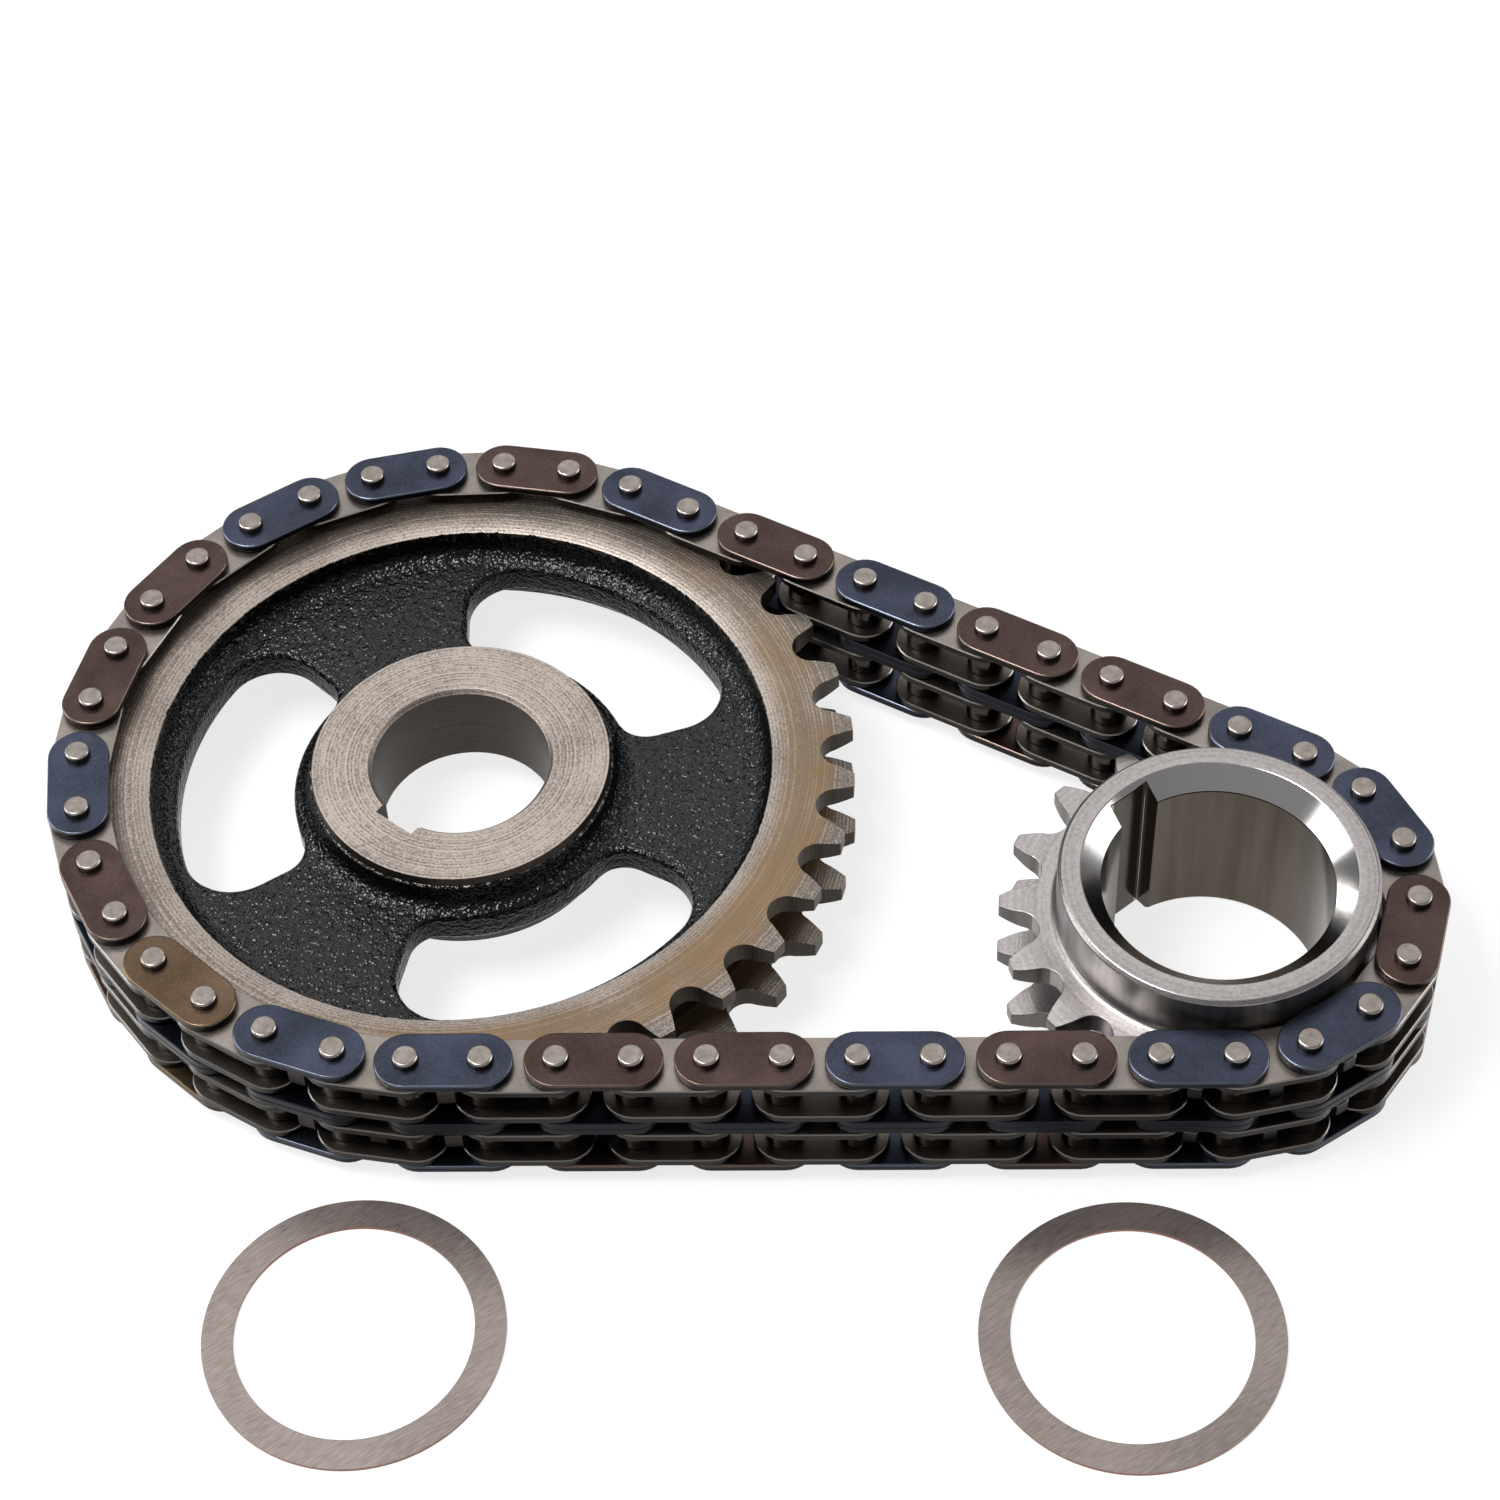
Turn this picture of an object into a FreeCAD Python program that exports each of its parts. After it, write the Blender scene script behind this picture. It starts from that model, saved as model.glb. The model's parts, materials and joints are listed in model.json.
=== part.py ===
"""Duplex timing chain with its cam sprocket, crank sprocket and two shim rings.

The chain lies flat round both sprockets. The origin is on the cam sprocket's axis, in the middle of
the chain's width. +X points at the crank sprocket and +Z up along both axes. Millimetres.
"""
import FreeCAD, Part
import os
from math import asin, atan2, cos, degrees, hypot, pi, radians, sin, sqrt
from FreeCAD import Placement, Rotation, Vector

# Chain
PITCH = 9.525
ROLLER_R = 2.54
ROLLER_BORE_R = 2.20
BUSH_R = 2.16
BUSH_BORE_R = 1.73
OPEN_BUSH_BORE_R = 1.92     # the two bushes at which the loop is opened
PIN_R = 1.65
PIN_LENGTH = 22.1
PIN_CHAMFER = 0.2
STRAND_PITCH = 10.13
INNER_WIDTH = 4.70
INNER_PLATE_T = 1.20
OUTER_PLATE_T = 1.25
PLATE_END_R = 4.125
OUTER_FACE_Z = 10.0         # outside of the outer plates, from mid-width
ROLLER_END_GAP = 0.10

# Sprockets
CAM_TEETH = 34
CRANK_TEETH = 17
CAM_WRAP_LINKS = 19
CRANK_WRAP_LINKS = 7
SPAN_LINKS = 11
TOOTH_WIDTH = 3.35
ROOT_CLEARANCE = 0.06
SEAT_R = 2.68
SPROCKET_DROP = 0.575       # both sprockets sit this far below mid-width
CAM_TIP_R = 53.65
CRANK_TIP_R = 28.30
CAM_TIP_BEVEL = (2.6, 0.45)     # along the tooth, down its side
CRANK_TIP_BEVEL = (3.0, 0.6)
SEAT_ANGLE = 140            # standard tooth form: widest seat, flank radius per roller diameter
FLANK_FACTOR = 0.12

CAM_BORE_R = 12.1
CAM_BORE_CHAMFER = 0.6
CAM_HUB_HALF = 7.0
CAM_HUB_R = 20.3
CAM_HUB_LIP = 1.3           # height of the machined band at each end of the hub
CAM_LIP_DRAFT = 0.2
CAM_PAINT_STEP = 0.3        # the painted casting stands this far out under the band
CAM_HUB_BASE_R = 21.6
CAM_WEB_HALF = 2.25
CAM_RIM_INNER_R = 42.4
CAM_RIM_DRAFT = 0.8
CAM_RIM_BEVEL_R = 44.0
CAM_RIM_BEVEL_H = 0.55
CAM_GROOVE_R = 46.8         # between the two toothed discs
CAM_KEY_W = 6.35
CAM_KEY_R = 13.6            # key slot's floor, from the axis
CAM_KEY_ANGLE = -113.5
WINDOW_COUNT = 3
WINDOW_ANGLE = 69.5
WINDOW_SPAN = 75.0
WINDOW_INNER_R = 23.3
WINDOW_OUTER_R = 39.3
WINDOW_CORNER_OUTER = 7.0
WINDOW_CORNER_INNER = 4.5
WINDOW_EDGE_R = 0.9
CAST_FILLET = 2.6

CRANK_TOP_Z = 14.15
CRANK_BOTTOM_Z = -12.55
CRANK_COLLAR_R = 20.9
CRANK_COLLAR_CHAMFER = 0.5
CRANK_BASE_FILLET = 1.2
CRANK_CONE_R = 17.95
CRANK_BORE_R = 15.2
CRANK_BORE_CHAMFER = 0.6
CRANK_KEY_W = 6.35
CRANK_KEY_R = 17.2
CRANK_KEY_ANGLE = 144.3

# Shim rings, lying on the bench beside the chain
SHIM_OUTER_R = 19.4
SHIM_INNER_R = 15.35
SHIM_T = 0.5
SHIM_PLACES = {"shim_left": (9.3, -78.0), "shim_right": (104.8, -54.5)}

CUT_HEIGHT = 60             # taller than either sprocket
TOUCH = 1e-6
WEB_SLACK = 0.3             # a window's wall may be this much taller or lower than the web

# First pin of each stretch of the loop, clockwise
FIRST_TOP_PIN = 12          # the wrap's last pin before the top span
FIRST_CRANK_PIN = FIRST_TOP_PIN + SPAN_LINKS
FIRST_BOTTOM_PIN = FIRST_CRANK_PIN + CRANK_WRAP_LINKS
FIRST_CAM_PIN = FIRST_BOTTOM_PIN + SPAN_LINKS

STRANDS = (STRAND_PITCH / 2, -STRAND_PITCH / 2)
INNER_FACE = INNER_WIDTH / 2
BUSH_LENGTH = INNER_WIDTH + 2 * INNER_PLATE_T


def pitch_radius(teeth):
    return PITCH / 2 / sin(pi / teeth)


CAM_R = pitch_radius(CAM_TEETH)
CRANK_R = pitch_radius(CRANK_TEETH)
CAM_END_ANGLE = 180 - CAM_WRAP_LINKS * 180 / CAM_TEETH
CRANK_END_ANGLE = CRANK_WRAP_LINKS * 180 / CRANK_TEETH


def centre_distance():
    """Distance between the axes at which each span is a whole number of pitches, pulled straight."""
    rise = CAM_R * sin(radians(CAM_END_ANGLE)) - CRANK_R * sin(radians(CRANK_END_ANGLE))
    run = sqrt((SPAN_LINKS * PITCH) ** 2 - rise ** 2)
    return run + CAM_R * cos(radians(CAM_END_ANGLE)) - CRANK_R * cos(radians(CRANK_END_ANGLE))


CRANK_X = centre_distance()


def polar(radius, angle, z=0.0):
    return Vector(radius * cos(radians(angle)), radius * sin(radians(angle)), z)


def pin_places():
    """Pin centres round the loop. Pin 0 is the first one above the cam sprocket's left end."""
    cam_step = 360 / CAM_TEETH
    crank_step = 360 / CRANK_TEETH
    cam = [polar(CAM_R, CAM_END_ANGLE + k * cam_step) for k in range(CAM_WRAP_LINKS + 1)]
    crank = [Vector(CRANK_X, 0, 0) + polar(CRANK_R, k * crank_step - CRANK_END_ANGLE)
             for k in range(CRANK_WRAP_LINKS + 1)]
    top = [cam[0] + (crank[-1] - cam[0]) * (k / SPAN_LINKS) for k in range(1, SPAN_LINKS)]
    bottom = [crank[0] + (cam[-1] - crank[0]) * (k / SPAN_LINKS) for k in range(1, SPAN_LINKS)]
    clockwise = cam[::-1] + top + crank[::-1] + bottom
    start = CAM_WRAP_LINKS - FIRST_TOP_PIN
    return clockwise[start:] + clockwise[:start]


PINS = pin_places()
PIN_COUNT = len(PINS)

# Outer links in each group, numbered by half the index of their first pin
OUTER_LINKS = {
    "cam_wrap": [21, 22, 23, 0, 1, 2, 3, 4, 5],
    "top_cam_link": [6],
    "top_span": [7, 8, 9, 10],
    "top_crank_link": [11],
    "crank_wrap": [12, 13, 14],
    "bottom_crank_link": [15],
    "bottom_span": [16, 17, 18, 19],
    "bottom_cam_link": [20],
}
BROWN_LINKS = (1, 2, 5, 7, 9, 10, 13, 16, 18, 19, 23)
BRONZE_LINKS = (22,)


def finish_of(link):
    if link in BROWN_LINKS:
        return "brown"
    if link in BRONZE_LINKS:
        return "bronze"
    return "blue"


def inner_links_of(group):
    """First pin of each inner link, which lies between two outer links of the group or ends it."""
    links = {
        "cam_wrap": (FIRST_CAM_PIN, CAM_WRAP_LINKS),
        "top_span": (FIRST_TOP_PIN + 1, SPAN_LINKS - 2),
        "crank_wrap": (FIRST_CRANK_PIN, CRANK_WRAP_LINKS),
        "bottom_span": (FIRST_BOTTOM_PIN + 1, SPAN_LINKS - 2),
    }
    if group not in links:
        return []
    first, count = links[group]
    return [(first + step) % PIN_COUNT for step in range(0, count, 2)]


def turned(outline):
    """Solid of revolution about Z from points (radius, z) or corners (radius, z, rounding)."""
    face = Part.Face(Part.Wire(rounded(outline)))
    return face.revolve(Vector(0, 0, 0), Vector(0, 0, 1), 360)


def rounded(corners):
    """Edges of a closed outline in the XZ plane. A corner's third value rounds it."""
    points = [Vector(corner[0], 0, corner[1]) for corner in corners]
    trims = []
    for index, corner in enumerate(corners):
        here = points[index]
        radius = corner[2] if len(corner) > 2 else 0
        if not radius:
            trims.append((here, None, here))
            continue
        back = (points[index - 1] - here).normalize()
        ahead = (points[(index + 1) % len(points)] - here).normalize()
        half = back.getAngle(ahead) / 2
        cut = radius * cos(half) / sin(half)
        bisector = (back + ahead).normalize()
        middle = here + bisector * (radius / sin(half) - radius)
        trims.append((here + back * cut, middle, here + ahead * cut))
    edges = []
    for index, (start, middle, end) in enumerate(trims):
        if middle:
            edges.append(Part.Arc(start, middle, end).toShape())
        following = trims[(index + 1) % len(trims)][0]
        if (following - end).Length > TOUCH:
            edges.append(Part.LineSegment(end, following).toShape())
    return edges


def tube(outer_r, inner_r, bottom, length):
    outside = Part.makeCylinder(outer_r, length, Vector(0, 0, bottom))
    return outside.cut(Part.makeCylinder(inner_r, length, Vector(0, 0, bottom)))


def placed(shape, place, angle=0.0):
    copy = shape.copy()
    copy.Placement = Placement(Vector(place.x, place.y, 0), Rotation(Vector(0, 0, 1), angle))
    return copy


def link_plate(bottom, thickness, hole_r):
    """Straight-sided plate with round ends and a hole at each end, from the origin along +X."""
    near = Part.makeCylinder(PLATE_END_R, thickness, Vector(0, 0, bottom))
    far = Part.makeCylinder(PLATE_END_R, thickness, Vector(PITCH, 0, bottom))
    waist = Part.makeBox(PITCH, 2 * PLATE_END_R, thickness, Vector(0, -PLATE_END_R, bottom))
    plate = near.fuse([far, waist]).removeSplitter()
    holes = [Part.makeCylinder(hole_r, thickness, Vector(x, 0, bottom)) for x in (0, PITCH)]
    return plate.cut(holes)


def along_link(shape, first):
    start = PINS[first]
    end = PINS[(first + 1) % PIN_COUNT]
    angle = degrees(atan2(end.y - start.y, end.x - start.x))
    return placed(shape, start, angle)


def make_pin():
    half = PIN_LENGTH / 2
    shoulder = half - PIN_CHAMFER
    tip_r = PIN_R - PIN_CHAMFER
    return turned([(0, -half), (tip_r, -half), (PIN_R, -shoulder), (PIN_R, shoulder), (tip_r, half),
                   (0, half)])


def strand_pair(build):
    """The same piece in the upper and the lower strand."""
    return [build(strand) for strand in STRANDS]


def make_rollers():
    length = INNER_WIDTH - 2 * ROLLER_END_GAP
    return strand_pair(lambda z: tube(ROLLER_R, ROLLER_BORE_R, z - length / 2, length))


def make_bushes(bore_r):
    return strand_pair(lambda z: tube(BUSH_R, bore_r, z - BUSH_LENGTH / 2, BUSH_LENGTH))


def make_inner_plates():
    above = strand_pair(lambda z: link_plate(z + INNER_FACE, INNER_PLATE_T, BUSH_R))
    below = strand_pair(lambda z: link_plate(z - INNER_FACE - INNER_PLATE_T, INNER_PLATE_T, BUSH_R))
    return above + below


def make_outer_plates():
    top = link_plate(OUTER_FACE_Z - OUTER_PLATE_T, OUTER_PLATE_T, PIN_R)
    bottom = link_plate(-OUTER_FACE_Z, OUTER_PLATE_T, PIN_R)
    return [top, bottom]


def make_centre_plates():
    """Two plates lie back to back between the strands."""
    return [link_plate(0, OUTER_PLATE_T, PIN_R), link_plate(-OUTER_PLATE_T, OUTER_PLATE_T, PIN_R)]


def chain_nodes():
    pin = make_pin()
    rollers = make_rollers()
    bushes = make_bushes(BUSH_BORE_R)
    open_bushes = make_bushes(OPEN_BUSH_BORE_R)
    inner_plates = make_inner_plates()
    outer_plates = make_outer_plates()
    centre_plates = make_centre_plates()
    open_pins = (FIRST_CRANK_PIN, FIRST_BOTTOM_PIN)
    nodes = {}
    for group, links in OUTER_LINKS.items():
        pins = [(2 * link + end) % PIN_COUNT for link in links for end in (0, 1)]
        nodes[group + "_pins"] = [placed(pin, PINS[index]) for index in pins]
        nodes[group + "_centre_plates"] = [along_link(plate, 2 * link)
                                           for link in links for plate in centre_plates]
        for link in links:
            name = group + "_outer_plates"
            if not group.endswith("_link"):
                name += "_" + finish_of(link)
            nodes.setdefault(name, []).extend(along_link(plate, 2 * link) for plate in outer_plates)
        inner = inner_links_of(group)
        if not inner:
            continue
        seats = [(first + end) % PIN_COUNT for first in inner for end in (0, 1)]
        nodes[group + "_inner_plates"] = [along_link(plate, first)
                                          for first in inner for plate in inner_plates]
        nodes[group + "_rollers"] = [placed(roller, PINS[index])
                                     for index in seats for roller in rollers]
        nodes[group + "_bushes"] = [placed(bush, PINS[index]) for index in seats
                                    for bush in (open_bushes if index in open_pins else bushes)]
    return nodes


def tooth_outline(teeth, tip_r, first_gap):
    """Closed outline of a sprocket. Each gap is a seat arc, two flank arcs and the tip after it."""
    ring_r = pitch_radius(teeth)
    seat_r = SEAT_R
    seat_x = ring_r - ROLLER_R - ROOT_CLEARANCE + seat_r
    half_seat = radians(SEAT_ANGLE - 90 / teeth) / 2
    flank_r = FLANK_FACTOR * 2 * ROLLER_R * (teeth + 2)
    seat = Vector(seat_x, 0, 0)
    outward = Vector(-cos(half_seat), sin(half_seat), 0)
    seat_end = seat + outward * seat_r
    flank_centre = seat + outward * (seat_r + flank_r)
    reach = hypot(flank_centre.x, flank_centre.y)
    # angle at the flank's centre between the way to the axis and the point at the tip radius
    swing = (reach ** 2 + flank_r ** 2 - tip_r ** 2) / (2 * reach * flank_r)
    to_axis = atan2(-flank_centre.y, -flank_centre.x)
    turn = pi / 2 - asin(swing)
    start = atan2(seat_end.y - flank_centre.y, seat_end.x - flank_centre.x)
    end = to_axis + turn
    middle = (start + end) / 2
    flank = [flank_centre + Vector(flank_r * cos(a), flank_r * sin(a), 0) for a in (middle, end)]
    mirror = [Vector(point.x, -point.y, 0) for point in (seat_end, *flank)]
    tip_angle = degrees(atan2(flank[1].y, flank[1].x))
    edges = []
    for gap in range(teeth):
        spin = Rotation(Vector(0, 0, 1), first_gap + gap * 360 / teeth)
        low_seat, low_middle, low_tip = [spin.multVec(point) for point in mirror]
        high_seat = spin.multVec(seat_end)
        high_middle = spin.multVec(flank[0])
        high_tip = spin.multVec(flank[1])
        root = spin.multVec(Vector(seat_x - seat_r, 0, 0))
        edges.append(Part.Arc(low_tip, low_middle, low_seat).toShape())
        edges.append(Part.Arc(low_seat, root, high_seat).toShape())
        edges.append(Part.Arc(high_seat, high_middle, high_tip).toShape())
        land = spin.multVec(polar(tip_r, 180 / teeth))
        next_tip = spin.multVec(polar(tip_r, 360 / teeth - tip_angle))
        edges.append(Part.Arc(high_tip, land, next_tip).toShape())
    return edges


def disc_profile(groove_r, tip_r, tip_bevel):
    """Outside of the two toothed discs, from the top face down, with bevelled tips."""
    half = TOOTH_WIDTH / 2
    length, drop = tip_bevel
    points = []
    for index, strand in enumerate(STRANDS):
        top = strand + half
        bottom = strand - half
        if index:
            points.append((groove_r, top))
        points += [(tip_r - length, top), (tip_r, top - drop),
                   (tip_r, bottom + drop), (tip_r - length, bottom)]
        if not index:
            points.append((groove_r, bottom))
    return points


def toothed(profile, teeth, tip_r, first_gap):
    prism = Part.Face(Part.Wire(tooth_outline(teeth, tip_r, first_gap)))
    prism.translate(Vector(0, 0, -CUT_HEIGHT / 2))
    return turned(profile).common(prism.extrude(Vector(0, 0, CUT_HEIGHT)))


def key_slot(floor_r, width, angle):
    slot = Part.makeBox(floor_r, width, CUT_HEIGHT, Vector(0, -width / 2, -CUT_HEIGHT / 2))
    slot.rotate(Vector(0, 0, 0), Vector(0, 0, 1), angle)
    return slot


def window_cutter(angle):
    """Kidney-shaped window through the web, with rounded corners."""
    half = WINDOW_SPAN / 2
    low = -CUT_HEIGHT / 2
    corners = [polar(radius, angle + side * half, low)
               for radius, side in ((WINDOW_INNER_R, -1), (WINDOW_OUTER_R, -1),
                                    (WINDOW_OUTER_R, 1), (WINDOW_INNER_R, 1))]
    outer_mid = polar(WINDOW_OUTER_R, angle, low)
    inner_mid = polar(WINDOW_INNER_R, angle, low)
    outline = Part.Wire([
        Part.LineSegment(corners[0], corners[1]).toShape(),
        Part.Arc(corners[1], outer_mid, corners[2]).toShape(),
        Part.LineSegment(corners[2], corners[3]).toShape(),
        Part.Arc(corners[3], inner_mid, corners[0]).toShape(),
    ])
    block = Part.Face(outline).extrude(Vector(0, 0, CUT_HEIGHT))
    for reach, radius in ((WINDOW_OUTER_R, WINDOW_CORNER_OUTER), (WINDOW_INNER_R, WINDOW_CORNER_INNER)):
        upright = [edge for edge in block.Edges if is_upright(edge, reach)]
        block = block.makeFillet(radius, upright)
    return block


def window_edges(sprocket):
    """Edges at which the windows' walls meet the two sides of the web."""
    edges = []
    for face in sprocket.Faces:
        box = face.BoundBox
        inside_web = max(box.ZMax, -box.ZMin) < CAM_WEB_HALF + WEB_SLACK
        if inside_web and box.ZLength > 2 * CAM_WEB_HALF - WEB_SLACK:
            edges += [edge for edge in face.Edges if edge.BoundBox.ZLength < CAM_WEB_HALF]
    return edges


def is_upright(edge, reach):
    low, high = edge.Vertexes[0].Point, edge.Vertexes[-1].Point
    same_place = hypot(low.x - high.x, low.y - high.y) < TOUCH
    return same_place and abs(hypot(low.x, low.y) - reach) < TOUCH


def make_cam_sprocket():
    face = STRAND_PITCH / 2 + TOOTH_WIDTH / 2
    hub = CAM_HUB_HALF
    edge = CAM_BORE_CHAMFER
    lip = hub - CAM_HUB_LIP
    lip_r = CAM_HUB_R + CAM_LIP_DRAFT
    # upper half from the bore outwards, then the discs, then the lower half back to the bore
    upper = [(CAM_BORE_R, hub - edge), (CAM_BORE_R + edge, hub), (CAM_HUB_R, hub),
             (lip_r, lip), (lip_r + CAM_PAINT_STEP, lip - CAM_LIP_DRAFT),
             (CAM_HUB_BASE_R, CAM_WEB_HALF, CAST_FILLET),
             (CAM_RIM_INNER_R - CAM_RIM_DRAFT, CAM_WEB_HALF, CAST_FILLET),
             (CAM_RIM_INNER_R, face - CAM_RIM_BEVEL_H), (CAM_RIM_BEVEL_R, face)]
    lower = [(corner[0], -corner[1], *corner[2:]) for corner in reversed(upper)]
    profile = upper + disc_profile(CAM_GROOVE_R, CAM_TIP_R, CAM_TIP_BEVEL) + lower
    sprocket = toothed(profile, CAM_TEETH, CAM_TIP_R, CAM_END_ANGLE)
    windows = [window_cutter(WINDOW_ANGLE + k * 360 / WINDOW_COUNT) for k in range(WINDOW_COUNT)]
    sprocket = sprocket.cut(windows + [key_slot(CAM_KEY_R, CAM_KEY_W, CAM_KEY_ANGLE)])
    sprocket = sprocket.makeFillet(WINDOW_EDGE_R, window_edges(sprocket))
    sprocket.translate(Vector(0, 0, -SPROCKET_DROP))
    return sprocket.Solids[0]


def make_crank_sprocket():
    face = STRAND_PITCH / 2 + TOOTH_WIDTH / 2
    top = CRANK_TOP_Z + SPROCKET_DROP
    bottom = CRANK_BOTTOM_Z + SPROCKET_DROP
    cone_depth = CRANK_CONE_R - CRANK_BORE_R
    edge = CRANK_BORE_CHAMFER
    chamfer = CRANK_COLLAR_CHAMFER
    profile = [(CRANK_BORE_R, top - cone_depth), (CRANK_CONE_R, top),
               (CRANK_COLLAR_R - chamfer, top), (CRANK_COLLAR_R, top - chamfer),
               (CRANK_COLLAR_R, face, CRANK_BASE_FILLET)]
    profile += disc_profile(CRANK_COLLAR_R, CRANK_TIP_R, CRANK_TIP_BEVEL)
    profile += [(CRANK_COLLAR_R, -face), (CRANK_COLLAR_R, bottom + chamfer),
                (CRANK_COLLAR_R - chamfer, bottom), (CRANK_BORE_R + edge, bottom),
                (CRANK_BORE_R, bottom + edge)]
    sprocket = toothed(profile, CRANK_TEETH, CRANK_TIP_R, CRANK_END_ANGLE)
    sprocket = sprocket.cut(key_slot(CRANK_KEY_R, CRANK_KEY_W, CRANK_KEY_ANGLE))
    sprocket.translate(Vector(CRANK_X, 0, -SPROCKET_DROP))
    return sprocket


def make_shim(place):
    ring = tube(SHIM_OUTER_R, SHIM_INNER_R, CRANK_BOTTOM_Z, SHIM_T)
    ring.translate(Vector(place[0], place[1], 0))
    return ring


def export(name, solids):
    shape = solids[0] if len(solids) == 1 else Part.makeCompound(solids)
    shape.exportStep(os.path.join("parts", name + ".step"))
    print("%-36s %3d solids" % (name, len(solids)))


os.makedirs("parts", exist_ok=True)
print("crank axis at x = %.3f, pins %d" % (CRANK_X, PIN_COUNT))
export("cam_sprocket", [make_cam_sprocket()])
export("crank_sprocket", [make_crank_sprocket()])
for shim_name, shim_place in SHIM_PLACES.items():
    export(shim_name, [make_shim(shim_place)])
for node_name, node_solids in chain_nodes().items():
    export(node_name, node_solids)
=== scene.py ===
import bmesh
import bpy
import json
from math import atan2, cos, pi, radians, sin
from mathutils import Matrix, Vector


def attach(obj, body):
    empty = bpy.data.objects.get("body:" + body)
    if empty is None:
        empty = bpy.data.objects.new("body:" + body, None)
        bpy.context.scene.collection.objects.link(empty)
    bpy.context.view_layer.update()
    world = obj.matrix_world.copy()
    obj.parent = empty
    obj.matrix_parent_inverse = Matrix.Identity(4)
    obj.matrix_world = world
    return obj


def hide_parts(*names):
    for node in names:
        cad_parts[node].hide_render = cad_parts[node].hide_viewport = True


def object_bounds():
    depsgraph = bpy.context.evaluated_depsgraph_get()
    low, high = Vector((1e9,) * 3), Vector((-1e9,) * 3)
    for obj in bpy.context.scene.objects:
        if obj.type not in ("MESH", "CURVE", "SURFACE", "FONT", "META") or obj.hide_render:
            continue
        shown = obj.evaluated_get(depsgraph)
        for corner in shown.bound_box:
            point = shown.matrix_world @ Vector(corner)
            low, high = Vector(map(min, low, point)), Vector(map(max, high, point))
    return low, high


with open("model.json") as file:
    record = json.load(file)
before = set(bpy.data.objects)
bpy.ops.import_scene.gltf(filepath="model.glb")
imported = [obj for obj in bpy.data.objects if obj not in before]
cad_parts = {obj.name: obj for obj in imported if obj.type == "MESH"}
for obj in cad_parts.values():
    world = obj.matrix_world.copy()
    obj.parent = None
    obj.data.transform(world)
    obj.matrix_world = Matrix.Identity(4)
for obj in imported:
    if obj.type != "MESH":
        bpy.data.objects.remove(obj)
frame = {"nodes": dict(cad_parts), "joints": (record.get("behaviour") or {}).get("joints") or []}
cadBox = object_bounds()
mm = 0.001
print("frame loaded:", len(frame["nodes"]), "nodes")


def hexColour(text):    # "#rrggbb" as a screen shows it, turned to the linear colour that shaders use
    parts = [int(text[i:i + 2], 16) / 255 for i in (1, 3, 5)]
    return [c / 12.92 if c <= 0.04045 else ((c + 0.055) / 1.055) ** 2.4 for c in parts] + [1.0]


def add(tree, kind, inputs=None, stops=None, **settings):    # one node with its settings, values and links
    made = tree.nodes.new("ShaderNode" + kind)
    for name, value in settings.items():
        setattr(made, name, value)
    for socket, value in (inputs or {}).items():
        if isinstance(value, bpy.types.NodeSocket):
            tree.links.new(value, made.inputs[socket])
        else:
            made.inputs[socket].default_value = value
    for index, (place, colour) in enumerate(stops or []):
        ramp = made.color_ramp.elements
        stop = ramp[index] if index < 2 else ramp.new(place)
        stop.position = place
        stop.color = colour
    return made


def newMaterial(name):
    material = bpy.data.materials.new(name)
    material.use_nodes = True
    tree = material.node_tree
    tree.nodes.clear()
    shader = add(tree, "BsdfPrincipled")
    add(tree, "OutputMaterial", {"Surface": shader.outputs[0]})
    return material, tree, shader


def millimetres(tree, centre=(0, 0, 0)):    # the piece's own coordinates in millimetres, from a centre
    place = add(tree, "TexCoord").outputs["Object"]
    return add(tree, "Mapping", {"Vector": place, "Location": [-c for c in centre],
                                 "Scale": (1 / mm, 1 / mm, 1 / mm)}).outputs[0]


def roundAxis(tree, centre):    # place, its flat part, its distance from an upright axis and its height
    place = millimetres(tree, centre)
    apart = add(tree, "SeparateXYZ", {"Vector": place}).outputs
    flat = add(tree, "CombineXYZ", {"X": apart[0], "Y": apart[1]}).outputs[0]
    radius = add(tree, "VectorMath", {0: flat}, operation="LENGTH").outputs["Value"]
    return place, flat, radius, apart[2]


def levelness(tree):    # 1 where a face is level, 0 where it stands upright
    rise = add(tree, "SeparateXYZ", {"Vector": add(tree, "TexCoord").outputs["Normal"]}).outputs[2]
    return add(tree, "Math", {0: rise}, operation="ABSOLUTE").outputs[0]


# The chain's layout in millimetres, as the CAD has it
chain = {
    "pitch": 9.525, "camTeeth": 34, "crankTeeth": 17,
    "camWrap": 19, "crankWrap": 7, "span": 11,    # in pitches
    "firstTopPin": 12,
    "strands": (5.065, -5.065),
    "crankX": next(j["pos_m"][0] for j in frame["joints"] if j["name"] == "crank_spin") / mm,
}


def polar(radius, turn):
    return Vector((radius * cos(turn), radius * sin(turn), 0))


def pinPlaces():
    pitch = chain["pitch"]
    camStep = 2 * pi / chain["camTeeth"]
    crankStep = 2 * pi / chain["crankTeeth"]
    camR = pitch / 2 / sin(camStep / 2)
    crankR = pitch / 2 / sin(crankStep / 2)
    camEnd = pi - chain["camWrap"] * camStep / 2
    crankEnd = chain["crankWrap"] * crankStep / 2
    cam = [polar(camR, camEnd + k * camStep) for k in range(chain["camWrap"] + 1)]
    crank = [Vector((chain["crankX"], 0, 0)) + polar(crankR, k * crankStep - crankEnd)
             for k in range(chain["crankWrap"] + 1)]
    steps = [k / chain["span"] for k in range(1, chain["span"])]
    top = [cam[0].lerp(crank[-1], step) for step in steps]
    bottom = [crank[0].lerp(cam[-1], step) for step in steps]
    loop = cam[::-1] + top + crank[::-1] + bottom
    start = chain["camWrap"] - chain["firstTopPin"]
    return loop[start:] + loop[:start]


pins = pinPlaces()
firstTopPin = chain["firstTopPin"]
firstCrankPin = firstTopPin + chain["span"]
firstBottomPin = firstCrankPin + chain["crankWrap"]
firstCamPin = firstBottomPin + chain["span"]
lastCamPin = firstCamPin + chain["camWrap"]

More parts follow.
